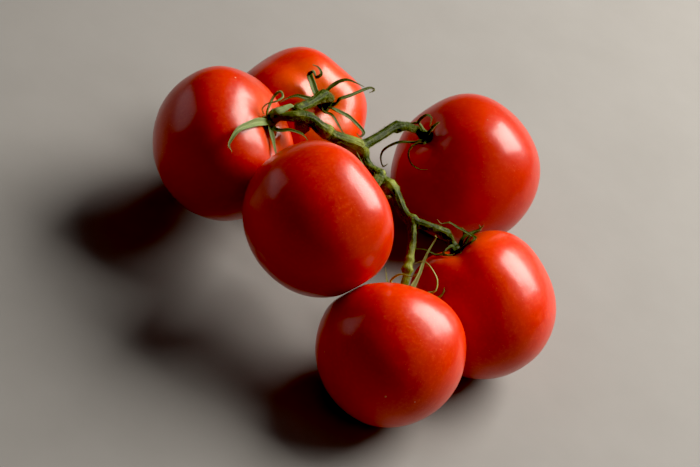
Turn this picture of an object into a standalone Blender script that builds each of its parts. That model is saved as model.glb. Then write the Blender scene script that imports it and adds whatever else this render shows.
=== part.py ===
"""A truss of six ripe tomatoes, lying on a flat surface as it was cut from its plant.

One grown stem branches to six tomatoes. Each tomato carries a calyx: a small green disc with long,
narrow, curling sepals. Lengths are in millimetres up to the point where a mesh is made, which is in metres.
+Z is up, and the origin lies on the surface under the middle of the bunch.
"""

from math import atan2, cos, exp, hypot, pi, radians, sin

import bmesh
import bpy
from mathutils import Matrix, Vector

MM = 0.001

# The bunch is laid out as it is seen by a viewer who looks down on it. A place is given by where it is seen
# on an upright plane through the middle of the bunch (across, up), and by its depth towards the viewer.
VIEW_DISTANCE = 1014.5
VIEW_ELEVATION = radians(41.4)
VIEW_ROLL = radians(26)
LAID_DOWN = Matrix.Rotation(pi / 2 - VIEW_ELEVATION, 3, "X") @ Matrix.Rotation(VIEW_ROLL, 3, "Z")
UNDER_MIDDLE = Vector((0.0, -10.8, -13.1))
TO_VIEWER = LAID_DOWN @ Vector((0, 0, 1))

# Tomatoes: the free space to whatever touches one, how finely each is drawn, the hollow round its stalk, and
# how softly its pressed sides blend into the round.
GAP = 0.35
FRUIT_SEGMENTS = 32
FRUIT_RINGS = 17
RING_CROWDING = 0.45
CAVITY_WIDTH = radians(17)
LOBE_COUNT = 5
LOBE_LEAN = 1.2
PRESS_SOFTNESS = 0.6
NEARLY_TOUCHING = 1.0
PRESSED_SIDE = 0.2

# Calyxes: the disc, then its sepals. A sepal starts inside the disc, at a level above the disc's underside.
# Its face leans by a share from the stem end's way towards the viewer, and turns back to that way as its
# route bends.
HUB_RADIUS = 3.8
HUB_TOP_RADIUS = 2.3
HUB_HEIGHT = 2.7
HUB_SIDES = 12
SEPAL_LEVEL = 0.9
SEPAL_ROOT = 1.6
SEPAL_THICKNESS = 0.9
SEPAL_EDGE_LEVEL = 0.35
SEPAL_TROUGH = 0.6
SEPAL_TIP_HALF_WIDTH = 0.42
SEPAL_LEAN = 0.3
VIEWER_SHARE = 0.8
SHORTEST_SPAN = 1.4
BEND_ROOM = 0.7
SEPAL_CLEARANCE = 1.1
STEM_CLEARANCE = 1.7
POINTS_A_SPAN = 2

# The stem: how finely its limbs are drawn, and the straight run by which a stalk reaches its disc.
LIMB_FINENESS = 12
STEM_STEP = 2.2
STEM_BEVEL_RESOLUTION = 2
STALK_RUN = 3.0
STALK_END_RADIUS = 1.8
STALK_NECK_RADIUS = 1.5

# A tomato: where its middle is seen, the way its stem end faces, its half width, its height above the middle
# (crown) and below it (foot), how square its shoulders and its foot are (2 is an ellipse), how deep its stalk
# sits, how much it is lobed and from where, how much taller it is than wide, and its furrows. A furrow runs
# down from the stem end on the side that it names, with its depth.
TOMATOES = [
    dict(place=(-56, 41, 37), stem_end=(0.81, 0.37, 0.455), half_width=32.2, crown=24.5, foot=31.5,
         shoulders=2.5, toe=2.1, cavity=2.5, lobes=0.01, spin=20, tallness=1.045,
         furrows=[((0.1, -1.0, 0.5), 1.8)]),
    dict(place=(-24, 52, -14.7), stem_end=(0.49, 0.24, 0.84), half_width=31.9, crown=29.5, foot=31.0,
         shoulders=2.2, toe=2.1, cavity=4.0, lobes=0.025, spin=-45, tallness=1.0,
         furrows=[((-0.6, 0.8, 0.1), 1.3), ((0.5, -0.8, 0.1), 1.0), ((0.9, 0.2, -0.5), 0.8)]),
    dict(place=(-14, 6.5, 71), stem_end=(0.78, 0.52, -0.35), half_width=33.3, crown=26.3, foot=31.0,
         shoulders=2.6, toe=2.1, cavity=3.0, lobes=0.008, spin=0, tallness=1.0, furrows=[]),
    dict(place=(51.5, 29.5, -25), stem_end=(-0.67, 0.52, 0.53), half_width=34.4, crown=29.8, foot=35.0,
         shoulders=2.3, toe=2.15, cavity=4.0, lobes=0.01, spin=10, tallness=1.0,
         furrows=[((0.0, -0.5, 1.0), 0.8)]),
    dict(place=(60.5, -33, 31), stem_end=(-0.45, 0.89, 0.08), half_width=31.3, crown=31.2, foot=31.8,
         shoulders=2.6, toe=2.1, cavity=4.0, lobes=0.01, spin=0, tallness=1.0,
         furrows=[((0.0, 0.0, 1.0), 4.5), ((0.0, 0.0, -1.0), 4.5)]),
    dict(place=(18.5, -53.5, 69), stem_end=(0.20, 0.93, -0.30), half_width=31.9, crown=28.0, foot=32.3,
         shoulders=2.35, toe=1.92, cavity=4.0, lobes=0.008, spin=30, tallness=1.0, furrows=[]),
]
FURROW_WIDTH = 0.16
FURROW_LENGTH = radians(38)

# A sepal: its half width, and the points (across, up, towards) that it runs through after the disc.
SEPALS = {
    1: [
        (1.8, [(-42, 50.5, 59), (-46, 49.3, 65), (-50.5, 47.3, 69.5), (-53.5, 43.5, 71.5), (-55, 40, 72.5),
               (-53.7, 37.5, 74)]),
        (0.9, [(-37.5, 55, 53), (-36, 59.5, 53.5), (-34, 63, 54.5), (-31.5, 64.3, 57), (-30.5, 62, 60),
               (-33.5, 60, 62), (-37.3, 59, 62), (-39.8, 56.5, 62.5), (-39, 54.3, 64)]),
        (1.7, [(-34, 54.5, 51.5), (-31, 56.6, 50.5), (-28.5, 57.8, 48.5), (-26.3, 58.2, 46.5)]),
        (1.5, [(-34, 47, 50), (-30.5, 46.7, 50.5), (-27, 46.9, 51), (-21.8, 45.1, 53), (-19.2, 42.5, 55)]),
        (1.5, [(-36, 46.8, 51.5), (-35, 42.5, 53), (-34, 38, 54.5), (-33.3, 35.5, 55)]),
    ],
    2: [
        (1.8, [(-15.5, 63.5, 13.5), (-17.5, 69, 14), (-18.5, 72.5, 15), (-16.5, 73.5, 17), (-15.5, 71, 18.5),
               (-13, 72.5, 19), (-14.5, 75.5, 19), (-17, 76.5, 20)]),
        (1.5, [(-10.5, 65, 13), (-7, 68, 13), (-3.5, 69.5, 12.5), (0, 69.5, 11.5), (6.5, 66.5, 9)]),
        (1.4, [(-8, 60.5, 13), (-4.5, 61, 13), (0, 62.5, 12), (8.5, 66, 8), (11, 65, 7.5), (9, 64, 8.5)]),
        (1.4, [(-8.5, 57, 14), (-4.5, 55, 13.5), (0, 52.5, 13), (5.5, 47, 12), (6, 45, 13), (4.5, 44, 14),
               (3, 45.5, 15.5)]),
        (1.1, [(-12, 55.5, 15), (-8.5, 54, 15), (-6, 50.5, 15), (-4, 47, 14), (-2, 43.5, 12.5)]),
        (1.3, [(-16, 60.5, 14), (-20, 61.5, 16), (-24, 62.5, 17), (-28, 61.5, 18), (-31.5, 59.5, 20)]),
    ],
    3: [(0.9, [(8, 25, 57), (6.5, 30, 53), (4.5, 34, 50), (3, 37, 47)])],
    4: [
        (1.0, [(32.3, 47.5, -3), (31, 50, 0), (32.7, 52.5, 3), (35, 53.8, 4), (37, 52.3, 3), (36, 48.5, 3)]),
        (1.3, [(37, 47.5, 0), (39, 49.5, 2), (40.5, 50.5, 4)]),
        (1.0, [(31, 47.5, -4), (28, 49.5, -4), (25.5, 50.5, -5)]),
        (1.2, [(31, 42, -1), (28, 41.5, 1), (23, 41.5, 2), (18.5, 40, 2), (15, 37.5, 1), (14, 34, 0),
               (15, 30.5, 0), (17, 31.5, 2)]),
        (0.7, [(34, 41, 2), (31, 41, 3), (28, 39.5, 4), (26.5, 36, 6), (28, 31.5, 7.5), (32, 29, 9),
               (35, 29, 9.5)]),
    ],
    5: [
        (0.9, [(51.5, -9, 42), (55, -7.5, 46), (57, -4, 46), (55.5, -1, 44), (48.5, 3, 42), (45, 5, 42),
               (41.5, 4.5, 42), (39.5, 6.5, 43)]),
        (1.0, [(51.5, -2, 32), (55.5, 0.5, 31), (58.5, 1.8, 30.5), (60.8, 3.8, 31)]),
        (0.9, [(45, -10, 38), (41.5, -10.5, 41), (38.5, -9.5, 42), (34.5, -7.5, 43), (30.5, -7, 43),
               (26, -7.5, 43)]),
        (1.0, [(46, -5.8, 37), (43, -7.5, 42), (43.3, -10.6, 45), (46.3, -11.5, 47), (47.5, -9.3, 48)]),
        (1.1, [(50, -7, 40), (50.8, -8.5, 43), (51.3, -11.3, 48)]),
    ],
    6: [
        (1.3, [(27, -25, 62), (29.5, -22, 62), (31.5, -18, 62), (33, -13.5, 62), (35.5, -8, 63),
               (39, -2, 64), (38.5, -1, 66)]),
        (0.8, [(29, -27.5, 63), (34, -27.5, 64), (38.5, -26, 65), (39.5, -22, 66), (38.5, -18.5, 67),
               (35, -13.5, 67.5), (31.5, -13, 68), (29, -14, 69)]),
        (0.7, [(20.5, -24, 63), (18.5, -21.5, 65), (21, -19.2, 68), (24, -18.5, 70), (27.5, -19.5, 71),
               (30, -18.5, 70)]),
        (0.8, [(19, -25, 60), (17, -22, 59), (16.5, -19, 59), (16, -15.5, 60)]),
    ],
}

# Sepals that lie folded back and end broad: the tomato and the sepal's number in its list, with the half
# width of its tip.
BROAD_TIPS = {(1, 2): 1.5}

# Sepals that hide behind their tomato: the way each leaves the disc, in degrees round the stem end, and how
# long it is, in millimetres.
BACK_SEPALS = {
    3: [(20, 12), (160, 12), (230, 12), (300, 12)],
    5: [(200, 18), (150, 15)],
    6: [(180, 20), (250, 17)],
}
BACK_SEPAL_HALF_WIDTH = 1.4
BACK_SEPAL_RISE = 0.35

# The stem: the truss and each tomato's stalk run through points (across, up, towards, radius). A stalk's last
# two points are added straight in line with its tomato's stem end.
TRUSS = [(-21.5, 47.5, 43, 2.9), (-22, 50.5, 46.5, 2.7), (-21.5, 53.2, 49, 2.5), (-17.5, 51.5, 47, 2.4),
         (-13.5, 48, 45, 2.5), (-10.8, 46.3, 43.5, 2.8), (-8, 44.3, 42, 2.4), (-2.5, 42, 39, 2.7),
         (4.5, 38.8, 36, 3.1), (6.5, 33, 35.5, 2.3), (9.5, 29, 36, 2.1), (12.5, 26.5, 36.5, 2.9),
         (14.5, 24, 37, 2.5), (18.3, 20.5, 38.5, 3.0), (21, 16.5, 41, 2.2), (25, 8.5, 45, 1.9),
         (28.3, 5.5, 47, 2.4), (28.3, 3.5, 48, 1.7), (28.2, -3.5, 51, 1.5)]
STALKS = {
    1: [(-21.5, 53.2, 49, 2.4), (-26.5, 53.2, 51, 2.0)],
    2: [(-21.5, 53.2, 49, 2.2), (-24.5, 56, 43, 1.9), (-17.8, 59.3, 34, 1.7), (-12, 62.6, 25, 2.1)],
    3: [(12.5, 26.5, 36.5, 2.2), (12.5, 24.5, 41, 1.9)],
    4: [(4.5, 38.8, 36, 2.6), (8, 41, 33, 2.0), (14, 44.5, 26, 1.8), (19, 47.7, 20, 1.9), (21, 48.3, 18, 2.2),
        (26, 48.5, 10, 1.6)],
    5: [(28.3, 5.5, 47, 2.0), (36, 3, 46, 1.7), (41.5, 0.9, 43, 1.8), (43, -0.2, 42, 2.2),
        (45, -1.8, 40, 1.4)],
    6: [(28.2, -3.5, 51, 1.5), (27.3, -10, 54, 1.5), (26.2, -15.5, 57, 1.6), (26, -16.3, 57.5, 2.0),
        (25.8, -18.5, 58, 1.5)],
}


def seen(across, up, towards):
    """The place in the bunch of a point, from where it is seen and how near the viewer it is."""
    spread = (VIEW_DISTANCE - towards) / VIEW_DISTANCE
    return LAID_DOWN @ Vector((across * spread, up * spread, towards)) - UNDER_MIDDLE


class Tomato:
    """The shape of one tomato: how far its skin lies from its middle in every direction."""

    def __init__(self, number, place, stem_end, half_width, crown, foot, shoulders, toe, cavity, lobes, spin,
                 tallness, furrows):
        self.number = number
        self.place = place
        self.middle = seen(*place)
        self.up = (LAID_DOWN @ Vector(stem_end)).normalized()
        self.turn = self.up.to_track_quat("Z", "Y").to_matrix()
        self.half_width = half_width
        self.crown = crown
        self.foot = foot
        self.shoulders = shoulders
        self.toe = toe
        self.cavity = cavity
        self.lobes = lobes
        self.spin = radians(spin)
        self.tallness = tallness
        self.furrows = []
        for side, depth in furrows:
            own = self.turn.transposed() @ LAID_DOWN @ Vector(side)
            self.furrows.append((atan2(own.y, own.x), depth))
        self.pressed = []

    def free_reach(self, direction):
        """The distance from the middle to the skin, before neighbours press on it."""
        layout = LAID_DOWN.transposed() @ direction
        layout.y /= self.tallness
        shrink = layout.length
        own = self.turn.transposed() @ (LAID_DOWN @ (layout / shrink))
        aside = hypot(own.x, own.y)
        from_stem = atan2(aside, own.z)
        height, power = (self.crown, self.shoulders) if own.z > 0 else (self.foot, self.toe)
        reach = ((aside / self.half_width) ** power + (abs(own.z) / height) ** power) ** (-1 / power)
        round_it = atan2(own.y, own.x)
        shoulder = aside**2 * (LOBE_LEAN + own.z)
        reach *= 1 + self.lobes * shoulder * cos(LOBE_COUNT * round_it + self.spin)
        reach -= self.cavity * exp(-((from_stem / CAVITY_WIDTH) ** 2))
        for side, depth in self.furrows:
            if cos(round_it - side) > 0:
                off_line = aside * sin(round_it - side) / FURROW_WIDTH
                reach -= depth * exp(-(off_line**2) - (from_stem / FURROW_LENGTH) ** 2)
        return reach / shrink

    def reach(self, direction):
        """The distance from the middle to the skin, with its sides pressed where it touches a neighbour."""
        reach = self.free_reach(direction)
        for normal, distance in self.pressed:
            facing = direction.dot(normal)
            if facing > PRESSED_SIDE:
                excess = reach * facing - distance
                reach -= 0.5 * (excess + hypot(excess, PRESS_SOFTNESS)) / facing
        return reach

    def cleared(self, point, clearance):
        """The point itself, or where it is moved to so that it stays clear of the skin."""
        arm = point - self.middle
        direction = arm.normalized()
        nearest = self.reach(direction) + clearance
        if arm.length >= nearest:
            return point
        return self.middle + direction * nearest

    def seat(self):
        """How far along the stem end the underside of the calyx's disc lies."""
        angle = atan2(HUB_RADIUS, self.crown - self.cavity)
        rim = max(
            self.reach(self.turn @ Vector((sin(angle) * cos(a), sin(angle) * sin(a), cos(angle))))
            for a in [k * pi / 6 for k in range(12)]
        )
        return rim * cos(angle) + GAP


def press_together(one, other):
    """Flattens two tomatoes on the plane between them, where they would otherwise overlap."""
    between = other.middle - one.middle
    normal = between.normalized()
    one_reach = one.free_reach(normal)
    other_reach = other.free_reach(-normal)
    overlap = one_reach + other_reach + GAP - between.length
    if overlap > -NEARLY_TOUCHING:
        one.pressed.append((normal, one_reach - overlap / 2))
        other.pressed.append((-normal, other_reach - overlap / 2))


def smooth_route(points, points_a_span):
    """Points of a smooth curve through the given ones, each a vector of any size (Catmull-Rom)."""
    ends = [points[0] * 2 - points[1]] + points + [points[-1] * 2 - points[-2]]
    route = []
    for k in range(1, len(ends) - 2):
        before, start, end, after = ends[k - 1 : k + 3]
        for step in range(points_a_span):
            t = step / points_a_span
            route.append(0.5 * (2 * start + (end - before) * t
                                + (2 * before - 5 * start + 4 * end - after) * t**2
                                + (3 * start - before - 3 * end + after) * t**3))
    route.append(points[-1].copy())
    return route


def material(name, colour, roughness):
    """A plain material of the sub-part's own colour."""
    made = bpy.data.materials.new(name)
    made.use_nodes = True
    shader = made.node_tree.nodes["Principled BSDF"]
    shader.inputs["Base Color"].default_value = (*colour, 1.0)
    shader.inputs["Roughness"].default_value = roughness
    made.diffuse_color = (*colour, 1.0)
    return made


def new_object(name, mesh, collection, finish):
    """A mesh object in a collection, shaded smooth, with its material."""
    made = bpy.data.objects.new(name, mesh)
    collection.objects.link(made)
    mesh.materials.clear()
    mesh.materials.append(finish)
    mesh.shade_smooth()
    return made


def tomato_object(tomato, collection, finish):
    """One tomato: a ball drawn out to the skin, with a flat spot where it rests on the surface."""
    mesh = bpy.data.meshes.new(f"tomato_{tomato.number}")
    form = bmesh.new()
    bmesh.ops.create_uvsphere(form, u_segments=FRUIT_SEGMENTS, v_segments=FRUIT_RINGS, radius=1.0)
    for vert in form.verts:
        even = atan2(hypot(vert.co.x, vert.co.y), vert.co.z)
        from_stem = even * (1 - RING_CROWDING + RING_CROWDING * even / pi)
        round_it = atan2(vert.co.y, vert.co.x)
        own = Vector((sin(from_stem) * cos(round_it), sin(from_stem) * sin(round_it), cos(from_stem)))
        vert.co = own * tomato.reach(tomato.turn @ own) * MM
    placing = Matrix.Translation(tomato.middle * MM) @ tomato.turn.to_4x4()
    into_own = placing.inverted()
    cut = bmesh.ops.bisect_plane(form, geom=form.verts[:] + form.edges[:] + form.faces[:], dist=1e-7,
                                 plane_co=into_own @ Vector((0, 0, 0)),
                                 plane_no=into_own.to_3x3() @ Vector((0, 0, 1)), clear_inner=True)
    rim = [part for part in cut["geom_cut"] if isinstance(part, bmesh.types.BMEdge)]
    if rim:
        bmesh.ops.edgeloop_fill(form, edges=rim)
    bmesh.ops.recalc_face_normals(form, faces=form.faces)
    form.to_mesh(mesh)
    form.free()
    made = new_object(mesh.name, mesh, collection, finish)
    made.matrix_world = placing
    return made


def sepal_half_width(share, widest, tip):
    """A sepal's half width at a share of its length: broad near the disc, then drawn out to its tip."""
    swell = 0.85 + 0.15 * sin(min(share / 0.18, 1.0) * pi / 2)
    taper = max(1 - max(share - 0.18, 0.0) / 0.82, 0.0)
    return tip + (widest * swell - tip) * taper


def sepal_mesh(name, route, facing, widest, tip):
    """A keeled blade along a route. It faces one way as far as the route lets it, and turns no faster."""
    form = bmesh.new()
    count = len(route)
    normal = facing.copy()
    sections = []
    for k, point in enumerate(route):
        tangent = (route[min(k + 1, count - 1)] - route[max(k - 1, 0)]).normalized()
        normal += facing * SEPAL_LEAN
        normal = (normal - tangent * normal.dot(tangent)).normalized()
        side = tangent.cross(normal)
        bend = route[min(k + 1, count - 1)] - 2 * point + route[max(k - 1, 0)]
        bend /= max((route[min(k + 1, count - 1)] - route[max(k - 1, 0)]).length_squared / 4, 0.01)
        half = sepal_half_width(k / (count - 1), widest, tip)
        if 0 < k < count - 1:
            half = min(half, BEND_ROOM / max(abs(bend.dot(side)), 0.01))
        top = SEPAL_THICKNESS * SEPAL_EDGE_LEVEL
        keel = top - SEPAL_THICKNESS
        trough = top * SEPAL_TROUGH
        corners = [side * half + normal * top, normal * trough, side * -half + normal * top, normal * keel]
        sections.append([form.verts.new((point + corner) * MM) for corner in corners])
    for near, far in zip(sections, sections[1:]):
        for k in range(4):
            form.faces.new((near[k], near[(k + 1) % 4], far[(k + 1) % 4], far[k]))
    form.faces.new(reversed(sections[0]))
    form.faces.new(sections[-1])
    bmesh.ops.triangulate(form, faces=form.faces)
    bmesh.ops.recalc_face_normals(form, faces=form.faces)
    mesh = bpy.data.meshes.new(name)
    form.to_mesh(mesh)
    form.free()
    return mesh


def seen_sepal_route(tomato, tomatoes, limbs, points):
    """A sepal's route from inside the disc through the points where it is seen, clear of every tomato."""
    seat = tomato.middle + tomato.up * (tomato.seat() + SEPAL_LEVEL)
    first = seen(*points[min(1, len(points) - 1)])
    outward = first - seat
    outward = (outward - tomato.up * outward.dot(tomato.up)).normalized()
    guides = [seat + outward * SEPAL_ROOT]
    for point in points:
        place = seen(*point)
        if (place - guides[-1]).length > SHORTEST_SPAN:
            guides.append(place)
    return bent_route(guides, tomatoes, limbs)


def back_sepal_route(tomato, tomatoes, limbs, degrees, length):
    """A hidden sepal's route: out over the shoulder, rising a little off the skin, with its tip turned up."""
    angle = radians(degrees)
    outward = tomato.turn @ Vector((cos(angle), sin(angle), 0.0))
    seat = tomato.middle + tomato.up * (tomato.seat() + SEPAL_LEVEL)
    guides = [seat + outward * SEPAL_ROOT]
    for share in (0.2, 0.45, 0.7, 0.9, 1.0):
        lift = BACK_SEPAL_RISE * length * share**2
        guides.append(seat + outward * length * sin(share * pi / 2) + tomato.up * lift)
    return bent_route(guides, tomatoes, limbs)


def bent_route(guides, tomatoes, limbs):
    """A smooth route through the guides, bent clear of every tomato and, after its root, of the stem."""
    bent = [guides[0]] + [cleared_of_all(guide, tomatoes, limbs) for guide in guides[1:]]
    route = smooth_route(bent, POINTS_A_SPAN)
    return route[:1] + [cleared_of_all(point, tomatoes, limbs) for point in route[1:]]


def cleared_of_all(point, tomatoes, limbs):
    """The point itself, or where it is moved to so that it stays clear of the stem and the tomatoes."""
    for limb in limbs:
        for start, end in zip(limb, limb[1:]):
            along = end.xyz - start.xyz
            share = min(max((point - start.xyz).dot(along) / along.length_squared, 0.0), 1.0)
            off = point - (start.xyz + along * share)
            room = start.w + (end.w - start.w) * share + STEM_CLEARANCE
            if off.length < room:
                point = point + off.normalized() * (room - off.length)
    for tomato in tomatoes:
        point = tomato.cleared(point, SEPAL_CLEARANCE)
    return point


def union(name, pieces, collection, finish):
    """One closed body joined from overlapping pieces, which are then removed."""
    gathered = bpy.data.collections.new(name + "_pieces")
    bpy.context.scene.collection.children.link(gathered)
    for piece in pieces[1:]:
        gathered.objects.link(piece)
        collection.objects.unlink(piece)
    base = pieces[0]
    joining = base.modifiers.new("join", "BOOLEAN")
    joining.operation = "UNION"
    joining.operand_type = "COLLECTION"
    joining.collection = gathered
    joining.solver = "EXACT"
    joining.use_self = True
    joined = bpy.data.meshes.new_from_object(base.evaluated_get(bpy.context.evaluated_depsgraph_get()))
    joined.name = name
    joined.transform(base.matrix_world)
    for piece in pieces:
        bpy.data.objects.remove(piece)
    bpy.data.collections.remove(gathered)
    return new_object(name, joined, collection, finish)


def hub_object(tomato, collection, finish):
    """The calyx's disc: a low cone that sits over the hollow at the stem end."""
    form = bmesh.new()
    bmesh.ops.create_cone(form, cap_ends=True, segments=HUB_SIDES, radius1=HUB_RADIUS * MM,
                          radius2=HUB_TOP_RADIUS * MM, depth=HUB_HEIGHT * MM)
    mesh = bpy.data.meshes.new("hub")
    form.to_mesh(mesh)
    form.free()
    made = new_object("hub", mesh, collection, finish)
    middle = tomato.middle + tomato.up * (tomato.seat() + HUB_HEIGHT / 2)
    made.matrix_world = Matrix.Translation(middle * MM) @ tomato.turn.to_4x4()
    return made


def calyx_object(tomato, tomatoes, limbs, collection, finish):
    """A tomato's calyx: its disc with every sepal fused to it."""
    pieces = [hub_object(tomato, collection, finish)]
    half_up = (tomato.up + TO_VIEWER * VIEWER_SHARE).normalized()
    routes = [(width, half_up, seen_sepal_route(tomato, tomatoes, limbs, points))
              for width, points in SEPALS.get(tomato.number, [])]
    routes += [(BACK_SEPAL_HALF_WIDTH, tomato.up, back_sepal_route(tomato, tomatoes, limbs, degrees, length))
               for degrees, length in BACK_SEPALS.get(tomato.number, [])]
    for number, (width, facing, route) in enumerate(routes):
        tip = BROAD_TIPS.get((tomato.number, number), SEPAL_TIP_HALF_WIDTH)
        blade = sepal_mesh("sepal", route, facing, width, tip)
        pieces.append(new_object("sepal", blade, collection, finish))
    return union(f"calyx_{tomato.number}", pieces, collection, finish)


def limb_object(points, collection, finish):
    """A length of stem: a round curve whose thickness follows its points."""
    curve = bpy.data.curves.new("limb", "CURVE")
    curve.dimensions = "3D"
    curve.bevel_depth = MM
    curve.bevel_resolution = STEM_BEVEL_RESOLUTION
    curve.use_fill_caps = True
    spline = curve.splines.new("POLY")
    spline.points.add(len(points) - 1)
    for target, point in zip(spline.points, points):
        target.co = (*(point.xyz * MM), 1.0)
        target.radius = point.w
    drawn = bpy.data.objects.new("limb", curve)
    collection.objects.link(drawn)
    bpy.context.view_layer.update()
    mesh = bpy.data.meshes.new_from_object(drawn.evaluated_get(bpy.context.evaluated_depsgraph_get()))
    bpy.data.objects.remove(drawn)
    form = bmesh.new()
    form.from_mesh(mesh)
    bmesh.ops.remove_doubles(form, verts=form.verts, dist=1e-6)
    form.to_mesh(mesh)
    form.free()
    return new_object("limb", mesh, collection, finish)


def limb_points(guides):
    """Evenly spread points, each (x, y, z, radius), of a limb: smooth, with its last run left straight."""
    fine = smooth_route(guides[:-1], LIMB_FINENESS)
    points = [fine[0]]
    for point in fine[1:-1]:
        if (point.xyz - points[-1].xyz).length > STEM_STEP:
            points.append(point)
    if (fine[-1].xyz - points[-1].xyz).length < STEM_STEP * 0.5:
        points.pop()
    return points + [fine[-1], guides[-1]]


def guide(across, up, towards, radius):
    """A guide of a limb: its place in the bunch, with its radius as the fourth number."""
    return Vector((*seen(across, up, towards), radius))


def stem_limbs(tomatoes):
    """The points of every limb: the truss, and a stalk to each tomato that ends just over its calyx."""
    limbs = [[guide(*point) for point in TRUSS]]
    for tomato in tomatoes:
        top = tomato.seat() + HUB_HEIGHT + GAP
        stalk = [guide(*point) for point in STALKS[tomato.number]]
        stalk.append(Vector((*(tomato.middle + tomato.up * (top + STALK_RUN)), STALK_NECK_RADIUS)))
        stalk.append(Vector((*(tomato.middle + tomato.up * top), STALK_END_RADIUS)))
        limbs.append(stalk)
    return [limb_points(limb) for limb in limbs]


def clear_scene():
    """Removes whatever the scene holds."""
    for leftover in list(bpy.data.objects):
        bpy.data.objects.remove(leftover)


def main():
    """Builds the whole truss in one collection."""
    clear_scene()
    bunch = bpy.data.collections.new("tomato_truss")
    bpy.context.scene.collection.children.link(bunch)
    skin = material("tomato_skin", (0.60, 0.02, 0.01), 0.25)
    green = material("stem_green", (0.10, 0.17, 0.03), 0.6)
    leaf = material("sepal_green", (0.07, 0.13, 0.03), 0.65)
    tomatoes = [Tomato(number, **values) for number, values in enumerate(TOMATOES, start=1)]
    for first, one in enumerate(tomatoes):
        for other in tomatoes[first + 1 :]:
            press_together(one, other)
    limbs = stem_limbs(tomatoes)
    for tomato in tomatoes:
        tomato_object(tomato, bunch, skin)
        calyx_object(tomato, tomatoes, limbs, bunch, leaf)
    union("stem", [limb_object(limb, bunch, green) for limb in limbs], bunch, green)


main()
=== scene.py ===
"""The looks of a truss of six ripe tomatoes that lies on a pale surface.

The fine tomatoes, calyxes and stem follow the same shapes as the solids that they stand for, so the tables
and the formulas of those shapes are repeated here, in millimetres. A mesh is made in metres, at its place.
"""

import random
from math import atan2, cos, exp, hypot, pi, radians, sin, tau

import bmesh
import bpy
from mathutils import Matrix, Vector, noise
from mathutils.kdtree import KDTree

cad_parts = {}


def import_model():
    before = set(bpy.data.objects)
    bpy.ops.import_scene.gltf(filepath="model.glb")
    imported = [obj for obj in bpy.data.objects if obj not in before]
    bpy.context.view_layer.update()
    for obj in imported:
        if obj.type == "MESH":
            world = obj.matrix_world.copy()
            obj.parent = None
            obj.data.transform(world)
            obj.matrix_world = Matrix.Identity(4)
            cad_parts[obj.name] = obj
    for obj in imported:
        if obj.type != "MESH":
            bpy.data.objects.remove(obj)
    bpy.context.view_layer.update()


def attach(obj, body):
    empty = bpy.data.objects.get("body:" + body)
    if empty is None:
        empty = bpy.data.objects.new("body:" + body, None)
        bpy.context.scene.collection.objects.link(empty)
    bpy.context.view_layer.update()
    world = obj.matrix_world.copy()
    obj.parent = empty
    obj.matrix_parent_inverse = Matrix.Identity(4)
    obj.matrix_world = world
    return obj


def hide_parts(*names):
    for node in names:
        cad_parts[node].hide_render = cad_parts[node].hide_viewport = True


MM = 0.001

# The bunch is laid out as it is seen by a viewer who looks down on it. A place is given by where it is seen
# on an upright plane through the middle of the bunch (across, up), and by its depth towards the viewer.
VIEW_DISTANCE = 1014.5
VIEW_ELEVATION = radians(41.4)
VIEW_ROLL = radians(26)
LAID_DOWN = Matrix.Rotation(pi / 2 - VIEW_ELEVATION, 3, "X") @ Matrix.Rotation(VIEW_ROLL, 3, "Z")
UNDER_MIDDLE = Vector((0.0, -10.8, -13.1))
TO_VIEWER = LAID_DOWN @ Vector((0, 0, 1))

# Tomatoes: the free space to whatever touches one, the hollow round its stalk, its lobes, and how softly its
# pressed sides blend into the round.
GAP = 0.35
CAVITY_WIDTH = radians(17)
LOBE_COUNT = 5
LOBE_LEAN = 1.2
PRESS_SOFTNESS = 0.6
NEARLY_TOUCHING = 1.0
PRESSED_SIDE = 0.2

# Calyxes: the disc, then its sepals. A sepal starts inside the disc, at a level above the disc's underside.
# Its face leans by a share from the stem end's way towards the viewer, and turns back to that way as its
# route bends.
HUB_RADIUS = 3.8
HUB_TOP_RADIUS = 2.3
HUB_HEIGHT = 2.7
RIM_POINTS = 12
SEPAL_LEVEL = 0.9
SEPAL_ROOT = 1.6
SEPAL_NECK = 0.85
SEPAL_WIDEST_AT = 0.18
SEPAL_LEAN = 0.3
VIEWER_SHARE = 0.8
SHORTEST_SPAN = 1.4
BEND_ROOM = 0.7
SEPAL_CLEARANCE = 1.1
STEM_CLEARANCE = 1.7
POINTS_A_SPAN = 2

# The stem: how finely its limbs are drawn, and the straight run by which a stalk reaches its disc.
LIMB_FINENESS = 12
STEM_STEP = 2.2
STALK_RUN = 3.0
STALK_END_RADIUS = 1.8
STALK_NECK_RADIUS = 1.5

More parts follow.
